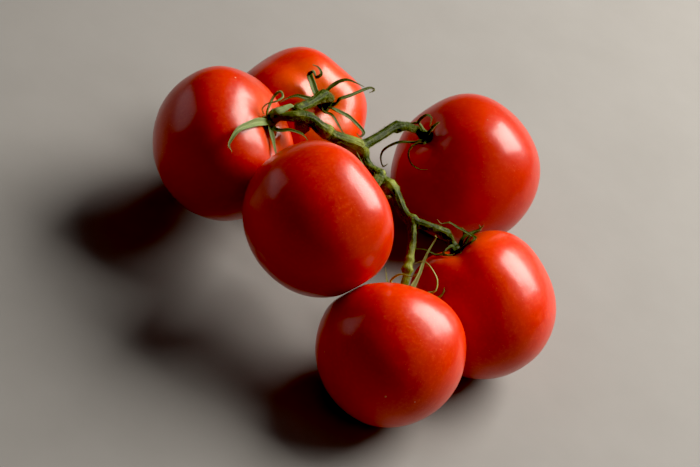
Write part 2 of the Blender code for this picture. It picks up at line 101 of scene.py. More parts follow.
# A tomato: where its middle is seen, the way its stem end faces, its half width, its height above the middle
# (crown) and below it (foot), how square its shoulders and its foot are (2 is an ellipse), how deep its
# stalk sits, how much it is lobed and from where, how much taller it is than wide, and its furrows. A furrow
# runs down from the stem end on the side that it names, with its depth.
TOMATOES = [
    dict(place=(-56, 41, 37), stem_end=(0.81, 0.37, 0.455), half_width=32.2, crown=24.5, foot=31.5,
         shoulders=2.5, toe=2.1, cavity=2.5, lobes=0.01, spin=20, tallness=1.045,
         furrows=[((0.1, -1.0, 0.5), 1.8)]),
    dict(place=(-24, 52, -14.7), stem_end=(0.49, 0.24, 0.84), half_width=31.9, crown=29.5, foot=31.0,
         shoulders=2.2, toe=2.1, cavity=4.0, lobes=0.025, spin=-45, tallness=1.0,
         furrows=[((-0.6, 0.8, 0.1), 1.3), ((0.5, -0.8, 0.1), 1.0), ((0.9, 0.2, -0.5), 0.8)]),
    dict(place=(-14, 6.5, 71), stem_end=(0.78, 0.52, -0.35), half_width=33.3, crown=26.3, foot=31.0,
         shoulders=2.6, toe=2.1, cavity=3.0, lobes=0.008, spin=0, tallness=1.0, furrows=[]),
    dict(place=(51.5, 29.5, -25), stem_end=(-0.67, 0.52, 0.53), half_width=34.4, crown=29.8, foot=35.0,
         shoulders=2.3, toe=2.15, cavity=4.0, lobes=0.01, spin=10, tallness=1.0,
         furrows=[((0.0, -0.5, 1.0), 0.8)]),
    dict(place=(60.5, -33, 31), stem_end=(-0.45, 0.89, 0.08), half_width=31.3, crown=31.2, foot=31.8,
         shoulders=2.6, toe=2.1, cavity=4.0, lobes=0.01, spin=0, tallness=1.0,
         furrows=[((0.0, 0.0, 1.0), 4.5), ((0.0, 0.0, -1.0), 4.5)]),
    dict(place=(18.5, -53.5, 69), stem_end=(0.20, 0.93, -0.30), half_width=31.9, crown=28.0, foot=32.3,
         shoulders=2.35, toe=1.92, cavity=4.0, lobes=0.008, spin=30, tallness=1.0, furrows=[]),
]
FURROW_WIDTH = 0.16
FURROW_LENGTH = radians(38)

# A sepal: its half width, and the points (across, up, towards) that it runs through after the disc.
SEPALS = {
    1: [
        (1.8, [(-42, 50.5, 59), (-46, 49.3, 65), (-50.5, 47.3, 69.5), (-53.5, 43.5, 71.5), (-55, 40, 72.5),
               (-53.7, 37.5, 74)]),
        (0.9, [(-37.5, 55, 53), (-36, 59.5, 53.5), (-34, 63, 54.5), (-31.5, 64.3, 57), (-30.5, 62, 60),
               (-33.5, 60, 62), (-37.3, 59, 62), (-39.8, 56.5, 62.5), (-39, 54.3, 64)]),
        (1.7, [(-34, 54.5, 51.5), (-31, 56.6, 50.5), (-28.5, 57.8, 48.5), (-26.3, 58.2, 46.5)]),
        (1.5, [(-34, 47, 50), (-30.5, 46.7, 50.5), (-27, 46.9, 51), (-21.8, 45.1, 53), (-19.2, 42.5, 55)]),
        (1.5, [(-36, 46.8, 51.5), (-35, 42.5, 53), (-34, 38, 54.5), (-33.3, 35.5, 55)]),
    ],
    2: [
        (1.8, [(-15.5, 63.5, 13.5), (-17.5, 69, 14), (-18.5, 72.5, 15), (-16.5, 73.5, 17), (-15.5, 71, 18.5),
               (-13, 72.5, 19), (-14.5, 75.5, 19), (-17, 76.5, 20)]),
        (1.5, [(-10.5, 65, 13), (-7, 68, 13), (-3.5, 69.5, 12.5), (0, 69.5, 11.5), (6.5, 66.5, 9)]),
        (1.4, [(-8, 60.5, 13), (-4.5, 61, 13), (0, 62.5, 12), (8.5, 66, 8), (11, 65, 7.5), (9, 64, 8.5)]),
        (1.4, [(-8.5, 57, 14), (-4.5, 55, 13.5), (0, 52.5, 13), (5.5, 47, 12), (6, 45, 13), (4.5, 44, 14),
               (3, 45.5, 15.5)]),
        (1.1, [(-12, 55.5, 15), (-8.5, 54, 15), (-6, 50.5, 15), (-4, 47, 14), (-2, 43.5, 12.5)]),
        (1.3, [(-16, 60.5, 14), (-20, 61.5, 16), (-24, 62.5, 17), (-28, 61.5, 18), (-31.5, 59.5, 20)]),
    ],
    3: [(0.9, [(8, 25, 57), (6.5, 30, 53), (4.5, 34, 50), (3, 37, 47)])],
    4: [
        (1.0, [(32.3, 47.5, -3), (31, 50, 0), (32.7, 52.5, 3), (35, 53.8, 4), (37, 52.3, 3), (36, 48.5, 3)]),
        (1.3, [(37, 47.5, 0), (39, 49.5, 2), (40.5, 50.5, 4)]),
        (1.0, [(31, 47.5, -4), (28, 49.5, -4), (25.5, 50.5, -5)]),
        (1.2, [(31, 42, -1), (28, 41.5, 1), (23, 41.5, 2), (18.5, 40, 2), (15, 37.5, 1), (14, 34, 0),
               (15, 30.5, 0), (17, 31.5, 2)]),
        (0.7, [(34, 41, 2), (31, 41, 3), (28, 39.5, 4), (26.5, 36, 6), (28, 31.5, 7.5), (32, 29, 9),
               (35, 29, 9.5)]),
    ],
    5: [
        (0.9, [(51.5, -9, 42), (55, -7.5, 46), (57, -4, 46), (55.5, -1, 44), (48.5, 3, 42), (45, 5, 42),
               (41.5, 4.5, 42), (39.5, 6.5, 43)]),
        (1.0, [(51.5, -2, 32), (55.5, 0.5, 31), (58.5, 1.8, 30.5), (60.8, 3.8, 31)]),
        (0.9, [(45, -10, 38), (41.5, -10.5, 41), (38.5, -9.5, 42), (34.5, -7.5, 43), (30.5, -7, 43),
               (26, -7.5, 43)]),
        (1.0, [(46, -5.8, 37), (43, -7.5, 42), (43.3, -10.6, 45), (46.3, -11.5, 47), (47.5, -9.3, 48)]),
        (1.1, [(50, -7, 40), (50.8, -8.5, 43), (51.3, -11.3, 48)]),
    ],
    6: [
        (1.3, [(27, -25, 62), (29.5, -22, 62), (31.5, -18, 62), (33, -13.5, 62), (35.5, -8, 63),
               (39, -2, 64), (38.5, -1, 66)]),
        (0.8, [(29, -27.5, 63), (34, -27.5, 64), (38.5, -26, 65), (39.5, -22, 66), (38.5, -18.5, 67),
               (35, -13.5, 67.5), (31.5, -13, 68), (29, -14, 69)]),
        (0.7, [(20.5, -24, 63), (18.5, -21.5, 65), (21, -19.2, 68), (24, -18.5, 70), (27.5, -19.5, 71),
               (30, -18.5, 70)]),
        (0.8, [(19, -25, 60), (17, -22, 59), (16.5, -19, 59), (16, -15.5, 60)]),
    ],
}

# Sepals that lie folded back and end broad: the tomato and the sepal's number in its list, with the half
# width of its tip.
BROAD_TIPS = {(1, 2): 1.5}

# Sepals whose face is turned to the light: the tomato and the sepal's number, with the way that it faces.
FACINGS = {(1, 2): (0.45, 0.5, 0.75), (6, 0): (0.62, -0.15, 0.75)}

# Sepals that hide behind their tomato: the way each leaves the disc, in degrees round the stem end, and how
# long it is, in millimetres.
BACK_SEPALS = {
    3: [(20, 12), (160, 12), (230, 12), (300, 12)],
    5: [(200, 18), (150, 15)],
    6: [(180, 20), (250, 17)],
}
BACK_SEPAL_HALF_WIDTH = 1.4
BACK_SEPAL_RISE = 0.35

# The stem: the truss and each tomato's stalk run through points (across, up, towards, radius). A stalk's
# last two points are added straight in line with its tomato's stem end.
TRUSS = [(-21.5, 47.5, 43, 2.9), (-22, 50.5, 46.5, 2.7), (-21.5, 53.2, 49, 2.5), (-17.5, 51.5, 47, 2.4),
         (-13.5, 48, 45, 2.5), (-10.8, 46.3, 43.5, 2.8), (-8, 44.3, 42, 2.4), (-2.5, 42, 39, 2.7),
         (4.5, 38.8, 36, 3.1), (6.5, 33, 35.5, 2.3), (9.5, 29, 36, 2.1), (12.5, 26.5, 36.5, 2.9),
         (14.5, 24, 37, 2.5), (18.3, 20.5, 38.5, 3.0), (21, 16.5, 41, 2.2), (25, 8.5, 45, 1.9),
         (28.3, 5.5, 47, 2.4), (28.3, 3.5, 48, 1.7), (28.2, -3.5, 51, 1.5)]
STALKS = {
    1: [(-21.5, 53.2, 49, 2.4), (-26.5, 53.2, 51, 2.0)],
    2: [(-21.5, 53.2, 49, 2.2), (-24.5, 56, 43, 1.9), (-17.8, 59.3, 34, 1.7), (-12, 62.6, 25, 2.1)],
    3: [(12.5, 26.5, 36.5, 2.2), (12.5, 24.5, 41, 1.9)],
    4: [(4.5, 38.8, 36, 2.6), (8, 41, 33, 2.0), (14, 44.5, 26, 1.8), (19, 47.7, 20, 1.9),
        (21, 48.3, 18, 2.2), (26, 48.5, 10, 1.6)],
    5: [(28.3, 5.5, 47, 2.0), (36, 3, 46, 1.7), (41.5, 0.9, 43, 1.8), (43, -0.2, 42, 2.2),
        (45, -1.8, 40, 1.4)],
    6: [(28.2, -3.5, 51, 1.5), (27.3, -10, 54, 1.5), (26.2, -15.5, 57, 1.6), (26, -16.3, 57.5, 2.0),
        (25.8, -18.5, 58, 1.5)],
}

# Noises: how their finer waves fade, how much finer each is, and how many there are.
SOFT_NOISE = (0.8, 2.0, 3)
STREAK_NOISE = (0.7, 2.0, 4)

# Fine skins. Their rings are closer near the stem end. Their relief: soft dents, wandering creases that run
# out from the stem end, and the dimple at the far end.
SKIN_SEGMENTS = 160
SKIN_RINGS = 96
RING_CROWDING = 0.45
SEED_STEP = 7.3
SKIN_RELIEF = 0.12
RELIEF_SCALE = 2.2
CREASE_COUNT = 13
CREASE_DEPTH = 0.07
CREASE_LENGTH = radians(30)
CREASE_WANDER = 0.64
WANDER_SCALE = 3.1
BLOSSOM_DIMPLE = 0.5
BLOSSOM_WIDTH = radians(6)

# Fine sepals: a blade's points, its thickness along the midrib and at the edge, its fold, the rib under it
# and where its tip begins. It is thinner where it is narrow.
BLADE_FINENESS = 8
BLADE_ACROSS = 9
STEPS_ACROSS = [-1 + 2 * step / (BLADE_ACROSS - 1) for step in range(BLADE_ACROSS)]
BLADE_THICKNESS = 0.34
BLADE_EDGE = 0.1
THICKNESS_CURVE = 0.7
THINNER_BELOW = 0.6
BLADE_FOLD = 0.42
FOLD_CURVE = 1.4
FOLD_LEVEL = 0.35
RIB_HEIGHT = 0.35
RIB_WIDTH = 0.16
BLADE_TIP = 0.12
TIP_FROM = 0.93
SHARPEST_BEND = 0.01

# Waves in a blade's width and edge: their height, and how many a millimetre has.
WIDTH_WAVE = 0.12
WIDTH_WAVES = 0.25
EDGE_WAVE = 0.1
EDGE_WAVES = 0.4
EDGE_WAVE_ACROSS = 1.5
EDGE_SEED = 9.0

# A broad tip is this much wider to each side than in its solid, and has dried less than a thin one.
BROAD_EXTRA = 0.4
BROAD_TIP_DRIED = 0.7

# Fine discs: how far out the edge lies, how much further under a sepal, and how the top draws in and rises.
DISC_SEGMENTS = 72
DISC_RINGS = 10
DISC_EDGE = 0.86
DISC_RIB = 0.22
DISC_RIB_MOST = 1.2
DISC_RIB_WIDTH = 0.12
DISC_CURVE = 0.6
DISC_RISE = 1.3

# The fine stem: ridges along it, lumps and streaks in its skin, a ring round each thickest place, and warts.
# Its limbs start out fuller than the solid's, because smoothing takes that off again.
STEM_VOXEL = 0.32
SMOOTH_STEPS = 3
FINE_LIMB_POINTS = 3
STEM_SIDES = 28
STEM_RIDGES = 7
STEM_RIDGE = 0.025
RIDGE_TWIST = 0.03
STEM_FULLNESS = 1.14
STEM_LUMP = 0.09
LUMP_SCALE = 0.45
STEM_STREAK = 0.08
STREAK_ALONG = 0.12
STREAK_ROUND = 4.5
KNUCKLE_REACH = 2
KNUCKLE_RISE = 0.42
KNUCKLE_LENGTH = 1.1
STEM_WARTS = 45
WART_RADIUS = (0.35, 0.9)
WART_HEIGHT = 0.45

# How far the cut end of the main stem has dried.
STUB_LENGTH = 7.5

# Painted light and shade on the stalks: how much paler (painted light) or darker (below nought, painted
# shade) than the main stem a stalk gets, and over what length.
STALK_PAINTED_LIGHT_AND_SHADE = {1: 0.3, 4: -0.6, 6: 0.5}
PAINTED_LIGHT_LENGTH = 8.0

# Hairs: corners, thickness, how deep they are set, how much they lean, and how long they are.
HAIR_ANGLES = [0.0, tau / 3, 2 * tau / 3]
HAIR_RADIUS = 0.045
HAIR_ROOT = 0.08
HAIR_LEAN = 0.45
HAIR_LENGTHS = (0.45, 1.25)
STEM_HAIRS = 8000
STEM_HAIR_LENGTH = 1.1
SEPAL_HAIRS = 2000
SEPAL_HAIR_LENGTH = 0.8
HAIR_SEED = 20

# Colours.
DEEP_RED = (0.50, 0.018, 0.006)
BRIGHT_RED = (0.66, 0.036, 0.006)
DARKEST_RED = (0.30, 0.012, 0.003)
FLUSH = (0.74, 0.075, 0.014)
ORANGE = (0.80, 0.15, 0.025)
SPECK = (0.90, 0.30, 0.12)
MARK_COLOUR = (0.85, 0.62, 0.45)
STEM_DARK = (0.016, 0.024, 0.003)
STEM_LIGHT = (0.048, 0.074, 0.010)
STEM_YELLOW = (0.30, 0.33, 0.055)
DRY_DARK = (0.06, 0.045, 0.022)
DRY_LIGHT = (0.26, 0.20, 0.10)
SEPAL_DARK = (0.016, 0.026, 0.006)
SEPAL_LIGHT = (0.10, 0.14, 0.04)
SEPAL_RIB = (0.26, 0.30, 0.12)
SEPAL_PALE = (0.33, 0.40, 0.16)
HAIR_DARK = (0.10, 0.12, 0.03)
HAIR_LIGHT = (0.42, 0.44, 0.17)
FLOOR_DARK = (0.21, 0.20, 0.185)
FLOOR_LIGHT = (0.25, 0.24, 0.225)

# How orange each tomato is round its calyx, how much deeper its red is, partly its own deeper red and partly
# painted shade, and how pale its calyx is, partly its own pale green and partly painted light.
FLUSHES = {1: 0.6, 2: 0.75, 3: 0.3, 4: 0.2, 5: 0.45, 6: 0.35}
DEEPNESS_AND_PAINTED_SHADE = {1: 0.35, 2: 0.15, 3: 0.1, 4: 0.45, 5: 0.05, 6: 0.0}
PALENESS_AND_PAINTED_LIGHT = {1: 0.45, 2: 0.1, 3: 0.0, 4: 0.0, 5: 0.05, 6: 0.8}

# Small pale marks in a skin: the side that each is on as it is seen (across, up, towards), its radius in
# millimetres and how pale it is.
MARKS = {
    1: [((0.147, 0.88, 0.45), 0.55, 0.9)],
    6: [((-0.876, 0.02, 0.48), 0.7, 0.35), ((-0.08, -0.54, 0.84), 0.6, 0.3),
        ((0.30, -0.62, 0.72), 0.4, 0.3)],
    3: [((0.35, -0.55, 0.76), 0.4, 0.25)],
    4: [((0.28, 0.62, 0.73), 0.4, 0.15)],
    5: [((-0.3, -0.35, 0.89), 0.45, 0.3)],
}
MARK_CORE = 0.4
MARK_RAGGED = 0.3

# The noises of each finish: waves a millimetre, detail, roughness and, for streaks, how it is stretched.
# Most of a noise's values lie in its middle range.
NOISE_MIDDLE = (0.3, 0.7)
SKIN_NOISES = {"clouds": (0.045, 3.0, 0.55), "mottle": (0.7, 3.0, 0.6), "grain": (1.1, 1.0, 0.55),
               "wax": (0.9, 3.0, 0.6), "dents": (0.16, 2.0, 0.55),
               "streaks": (0.35, 3.0, 0.6, (1.0, 1.0, 0.12))}
STEM_NOISES = {"mottle": (0.35, 4.0, 0.65), "fine": (1.3, 4.0, 0.75), "flecks": (0.8, 2.0, 0.6)}
SEPAL_MOTTLE = (0.6, 4.0, 0.65)
SEPAL_VEINS = (1.6, 3.0, 0.6)
VEINS_ACROSS = 3.0
VEINS_ALONG = 0.12
HAIR_NOISE = (0.8, 3.0, 0.55)
FLOOR_NOISE = (0.02, 4.0, 0.6)

# Where bark and veins turn from dark to light.
BARK_RANGE = (0.4, 0.6)
VEIN_RANGE = (0.35, 0.65)

# The layers of each colour, lowest first: the value that it follows, the range over which it comes in, its
# least and its most share, and its colour.
SKIN_LAYERS = [
    ("clouds", *NOISE_MIDDLE, 0.25, 0.9, BRIGHT_RED),
    ("streaks", 0.45, 0.75, 0.0, 0.2, FLUSH),
    ("mottle", 0.48, 0.7, 0.0, 0.38, FLUSH),
]
STEM_LAYERS = [
    ("grain", *NOISE_MIDDLE, 0.0, 1.0, STEM_LIGHT),
    ("swell", 2.85, 3.4, 0.0, 0.6, STEM_YELLOW),
    ("mottle", 0.5, 0.72, 0.0, 0.55, STEM_YELLOW),
    ("fine", 0.5, 0.7, 0.0, 0.45, STEM_DARK),
    ("flecks", 0.68, 0.74, 0.0, 0.6, DRY_LIGHT),
    # The last two layers: painted light and painted shade on some stalks.
    ("painted_light_and_shade", 0.0, 1.0, 0.0, 1.0, STEM_YELLOW),
    ("painted_light_and_shade", 0.0, -1.0, 0.0, 1.0, STEM_DARK),
]
SEPAL_LAYERS = [
    ("veins", *VEIN_RANGE, 0.0, 1.0, SEPAL_LIGHT),
    ("edge", 0.22, 0.05, 0.0, 0.55, SEPAL_RIB),
    ("edge", 0.7, 1.0, 0.0, 0.6, SEPAL_DARK),
    ("mottle", 0.5, 0.75, 0.0, 0.45, SEPAL_DARK),
]

# Borders of the orange flush, the dry cut end and the dry tips: start, end, and how ragged they are.
FLUSH_BORDER = (0.2, 0.85, 0.18)
CUT_BORDER = (0.3, 0.42, 0.15)
TIP_BORDER = (0.8, 0.95, 0.08)

# Specks: how many in a millimetre, how the skin's grain sets their size, and how pale they are.
SPECK_SCALE = 0.8
SPECK_GRAIN = (0.42, 0.75)
SPECK_SIZES = (0.04, 0.24)
SPECK_CORE = 0.5
SPECK_PALE = 0.3
SPECK_RISE = 0.4

# Surfaces: ranges of roughness, each bump's strength and height, and the shader's other numbers.
SKIN_ROUGHNESS = (0.30, 0.38)
STEM_ROUGHNESS = (0.42, 0.6)
SEPAL_ROUGHNESS = (0.5, 0.7)
WAX_BUMP = (0.35, 0.05)
DENT_BUMP = (0.5, 0.25)
STEM_BUMP = (0.5, 0.25)
GRAIN_RISE = 1.5
SEPAL_BUMP = (0.6, 0.2)
MOTTLE_RISE = 0.5
SKIN_NUMBERS = {
    "Specular IOR Level": 0.3, "IOR": 1.45, "Coat Weight": 0.4, "Coat Roughness": 0.2, "Coat IOR": 1.4,
    "Subsurface Weight": 0.25, "Subsurface Radius": (1.0, 0.18, 0.08), "Subsurface Scale": 2.0 * MM,
}
LEAF_NUMBERS = {"Specular IOR Level": 0.15, "Subsurface Weight": 0.15, "Subsurface Radius": (0.5, 0.9, 0.2),
                "Subsurface Scale": 0.8 * MM}
HAIR_NUMBERS = {"Roughness": 0.6, "Specular IOR Level": 0.1}
FLOOR_NUMBERS = {"Roughness": 0.8}

# Camera and light. A light: name, the way to it as the camera sees it (right, up, back), distance, width and
# height in metres, power in watts, colour.
CAMERA_LENS = 115.0
CAMERA_CLIP = 0.05
FLOOR_HALF_SIZE = 3.0
BUNCH_MIDDLE = Vector((0.0, 0.0, 0.045))
LIGHTS = [
    ("key", (0.80, 0.58, 0.04), 1.2, (0.85, 0.85), 36.0, (1.0, 0.96, 0.90)),
    ("fill", (-0.84, 0.54, 0.0), 1.2, (1.0, 0.7), 2.4, (1.0, 0.88, 0.92)),
    ("front", (0.72, -0.30, 0.60), 1.5, (1.6, 1.4), 2.2, (1.0, 0.95, 0.90)),
]
AMBIENT_COLOUR = (0.92, 0.94, 1.0)
AMBIENT_STRENGTH = 0.045
BLACK_LEVEL = 0.018


def seen(across, up, towards):
    """The place in the bunch of a point, from where it is seen and how near the viewer it is."""
    spread = (VIEW_DISTANCE - towards) / VIEW_DISTANCE
    return LAID_DOWN @ Vector((across * spread, up * spread, towards)) - UNDER_MIDDLE


class Tomato:
    """The shape of one tomato: how far its skin lies from its middle in every direction."""

    def __init__(self, number, place, stem_end, spin, furrows, **shape):
        vars(self).update(shape)
        self.number = number
        self.middle = seen(*place)
        self.up = (LAID_DOWN @ Vector(stem_end)).normalized()
        self.turn = self.up.to_track_quat("Z", "Y").to_matrix()
        self.spin = radians(spin)
        self.furrows = []
        for side, depth in furrows:
            own = self.turn.transposed() @ LAID_DOWN @ Vector(side)
            self.furrows.append((atan2(own.y, own.x), depth))
        self.pressed = []

    def free_reach(self, direction):
        """The distance from the middle to the skin, before neighbours press on it."""
        layout = LAID_DOWN.transposed() @ direction
        layout.y /= self.tallness
        shrink = layout.length
        own = self.turn.transposed() @ (LAID_DOWN @ (layout / shrink))
        aside = hypot(own.x, own.y)
        from_stem = atan2(aside, own.z)
        height, power = (self.crown, self.shoulders) if own.z > 0 else (self.foot, self.toe)
        reach = ((aside / self.half_width) ** power + (abs(own.z) / height) ** power) ** (-1 / power)
        round_it = atan2(own.y, own.x)
        shoulder = aside**2 * (LOBE_LEAN + own.z)
        reach *= 1 + self.lobes * shoulder * cos(LOBE_COUNT * round_it + self.spin)
        reach -= self.cavity * exp(-((from_stem / CAVITY_WIDTH) ** 2))
        for side, depth in self.furrows:
            if cos(round_it - side) > 0:
                off_line = aside * sin(round_it - side) / FURROW_WIDTH
                reach -= depth * exp(-(off_line**2) - (from_stem / FURROW_LENGTH) ** 2)
        return reach / shrink

    def reach(self, direction):
        """The distance from the middle to the skin, with its sides pressed where it touches a neighbour."""
        reach = self.free_reach(direction)
        for normal, distance in self.pressed:
            facing = direction.dot(normal)
            if facing > PRESSED_SIDE:
                excess = reach * facing - distance
                reach -= 0.5 * (excess + hypot(excess, PRESS_SOFTNESS)) / facing
        return reach

    def cleared(self, point):
        """The point, or where it is moved to so that a sepal stays clear of the skin."""
        arm = point - self.middle
        direction = arm.normalized()
        nearest = self.reach(direction) + SEPAL_CLEARANCE
        if arm.length >= nearest:
            return point
        return self.middle + direction * nearest

    def seat(self):
        """How far along the stem end the underside of the calyx's disc lies."""
        angle = atan2(HUB_RADIUS, self.crown - self.cavity)
        rim = max(
            self.reach(self.turn @ Vector((sin(angle) * cos(a), sin(angle) * sin(a), cos(angle))))
            for a in [tau * k / RIM_POINTS for k in range(RIM_POINTS)]
        )
        return rim * cos(angle) + GAP


def press_together(one, other):
    """Flattens two tomatoes on the plane between them, where they would otherwise overlap."""
    between = other.middle - one.middle
    normal = between.normalized()
    one_reach = one.free_reach(normal)
    other_reach = other.free_reach(-normal)
    overlap = one_reach + other_reach + GAP - between.length
    if overlap > -NEARLY_TOUCHING:
        one.pressed.append((normal, one_reach - overlap / 2))
        other.pressed.append((-normal, other_reach - overlap / 2))


def smooth_route(points, points_a_span):
    """Points of a smooth curve through the given ones, each a vector of any size (Catmull-Rom)."""
    ends = [points[0] * 2 - points[1]] + points + [points[-1] * 2 - points[-2]]
    route = []
    for k in range(1, len(ends) - 2):
        before, start, end, after = ends[k - 1 : k + 3]
        for step in range(points_a_span):
            t = step / points_a_span
            route.append(0.5 * (2 * start + (end - before) * t
                                + (2 * before - 5 * start + 4 * end - after) * t**2
                                + (3 * start - before - 3 * end + after) * t**3))
    route.append(points[-1].copy())
    return route


def sepal_half_width(share, widest, tip):
    """A sepal's half width at a share of its length: broad near the disc, then drawn out to its tip."""
    swell = SEPAL_NECK + (1 - SEPAL_NECK) * sin(min(share / SEPAL_WIDEST_AT, 1.0) * pi / 2)
    taper = max(1 - max(share - SEPAL_WIDEST_AT, 0.0) / (1 - SEPAL_WIDEST_AT), 0.0)
    return tip + (widest * swell - tip) * taper


def seen_sepal_guides(tomato, points):
    """A sepal's guides: from inside the disc through the points where it is seen."""
    seat = tomato.middle + tomato.up * (tomato.seat() + SEPAL_LEVEL)
    outward = seen(*points[min(1, len(points) - 1)]) - seat
    outward = (outward - tomato.up * outward.dot(tomato.up)).normalized()
    guides = [seat + outward * SEPAL_ROOT]
    for point in points:
        place = seen(*point)
        if (place - guides[-1]).length > SHORTEST_SPAN:
            guides.append(place)
    return guides


def back_sepal_guides(tomato, degrees, length):
    """A hidden sepal's guides: out over the shoulder, a little off the skin, with its tip turned up."""
    angle = radians(degrees)
    outward = tomato.turn @ Vector((cos(angle), sin(angle), 0.0))
    seat = tomato.middle + tomato.up * (tomato.seat() + SEPAL_LEVEL)
    guides = [seat + outward * SEPAL_ROOT]
    for share in (0.2, 0.45, 0.7, 0.9, 1.0):
        lift = BACK_SEPAL_RISE * length * share**2
        guides.append(seat + outward * length * sin(share * pi / 2) + tomato.up * lift)
    return guides


def cleared_of_all(point, tomatoes, limbs):
    """The point, or where it is moved to so that a sepal stays clear of the stem and the tomatoes."""
    for limb in limbs:
        for start, end in zip(limb, limb[1:]):
            along = end.xyz - start.xyz
            share = min(max((point - start.xyz).dot(along) / along.length_squared, 0.0), 1.0)
            off = point - (start.xyz + along * share)
            room = start.w + (end.w - start.w) * share + STEM_CLEARANCE
            if off.length < room:
                point = point + off.normalized() * (room - off.length)
    for tomato in tomatoes:
        point = tomato.cleared(point)
    return point


def limb_points(guides):
    """Evenly spread points, each (x, y, z, radius), of a limb: smooth, with its last run left straight."""
    fine = smooth_route(guides[:-1], LIMB_FINENESS)
    points = [fine[0]]
    for point in fine[1:-1]:
        if (point.xyz - points[-1].xyz).length > STEM_STEP:
            points.append(point)
    if (fine[-1].xyz - points[-1].xyz).length < STEM_STEP * 0.5:
        points.pop()
    return points + [fine[-1], guides[-1]]


def guide(across, up, towards, radius):
    """A guide of a limb: its place in the bunch, with its radius as the fourth number."""
    return Vector((*seen(across, up, towards), radius))


def stem_limbs(tomatoes):
    """The points of every limb: the truss, and a stalk to each tomato that ends just over its calyx."""
    limbs = [[guide(*point) for point in TRUSS]]
    for tomato in tomatoes:
        top = tomato.seat() + HUB_HEIGHT + GAP
        stalk = [guide(*point) for point in STALKS[tomato.number]]
        stalk.append(Vector((*(tomato.middle + tomato.up * (top + STALK_RUN)), STALK_NECK_RADIUS)))
        stalk.append(Vector((*(tomato.middle + tomato.up * top), STALK_END_RADIUS)))
        limbs.append(stalk)
    return [limb_points(limb) for limb in limbs]


def attributes(mesh, **numbers):
    """Numbers for each point of the mesh, for its material."""
    for name, values in numbers.items():
        layer = mesh.attributes.new(name, "FLOAT", "POINT")
        layer.data.foreach_set("value", values)


def linked(name, data):
    """A new object in the scene."""
    made = bpy.data.objects.new(name, data)
    bpy.context.scene.collection.objects.link(made)
    return made


def mesh_of(name, form):
    """The mesh that a form was built for."""
    mesh = bpy.data.meshes.new(name)
    form.to_mesh(mesh)
    form.free()
    return mesh


def grid_mesh(name, rows):
    """A mesh through rows that go round, with as many points each, and with both ends capped."""
    form = bmesh.new()
    made = [[form.verts.new(point * MM) for point in row] for row in rows]
    count = len(rows[0])
    for near, far in zip(made, made[1:]):
        for k in range(count):
            after = (k + 1) % count
            form.faces.new((near[k], near[after], far[after], far[k]))
    for row in (made[0], made[-1]):
        middle = form.verts.new(sum((vert.co for vert in row), Vector()) / count)
        for k in range(count):
            form.faces.new((row[k], row[(k + 1) % count], middle))
    bmesh.ops.recalc_face_normals(form, faces=form.faces)
    mesh = mesh_of(name, form)
    mesh.shade_smooth()
    return mesh


def joined_mesh(name, meshes):
    """One mesh of all the given ones, with their attributes."""
    objects = [linked(name, mesh) for mesh in meshes]
    with bpy.context.temp_override(active_object=objects[0], selected_editable_objects=objects):
        bpy.ops.object.join()
    whole = objects[0].data
    bpy.data.objects.remove(objects[0])
    whole.name = name
    return whole


def new_piece(mesh, finish):
    """A piece of the bunch, which rides with it, with its finish."""
    piece = linked(mesh.name, mesh)
    mesh.materials.clear()
    mesh.materials.append(finish)
    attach(piece, "root")
    return piece


def skin_reach(tomato, own):
    """The distance from the middle to the fine skin, in a direction in the tomato's own axes."""
    reach = tomato.reach(tomato.turn @ own)
    from_stem = atan2(hypot(own.x, own.y), own.z)
    round_it = atan2(own.y, own.x)
    seed = Vector((tomato.number * SEED_STEP, 0.0, 0.0))
    reach += SKIN_RELIEF * noise.fractal(own * RELIEF_SCALE + seed, *SOFT_NOISE)
    wander = CREASE_WANDER * noise.noise(own * WANDER_SCALE + seed)
    crease = abs(sin(0.5 * CREASE_COUNT * (round_it + wander) + tomato.number))
    reach -= CREASE_DEPTH * (1 - crease) ** 3 * exp(-((from_stem / CREASE_LENGTH) ** 2))
    reach -= BLOSSOM_DIMPLE * exp(-(((pi - from_stem) / BLOSSOM_WIDTH) ** 2))
    return reach


def skin_piece(tomato, finish):
    """The fine skin of one tomato, cut flat where it rests."""
    rows = []
    from_stems = []
    for ring in range(1, SKIN_RINGS):
        even = pi * ring / SKIN_RINGS
        from_stem = even * (1 - RING_CROWDING + RING_CROWDING * even / pi)
        row = []
        for k in range(SKIN_SEGMENTS):
            round_it = tau * k / SKIN_SEGMENTS
            own = Vector((sin(from_stem) * cos(round_it), sin(from_stem) * sin(round_it), cos(from_stem)))
            point = tomato.middle + tomato.turn @ (own * skin_reach(tomato, own))
            if point.z < 0:
                share = tomato.middle.z / (tomato.middle.z - point.z)
                point = tomato.middle + (point - tomato.middle) * share
            row.append(point)
            from_stems.append(from_stem)
        rows.append(row)
    mesh = grid_mesh(f"tomato_{tomato.number}_skin", rows)
    attributes(mesh, from_stem=from_stems + [0.0, pi])
    piece = new_piece(mesh, finish)
    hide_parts(f"tomato_{tomato.number}")
    return piece


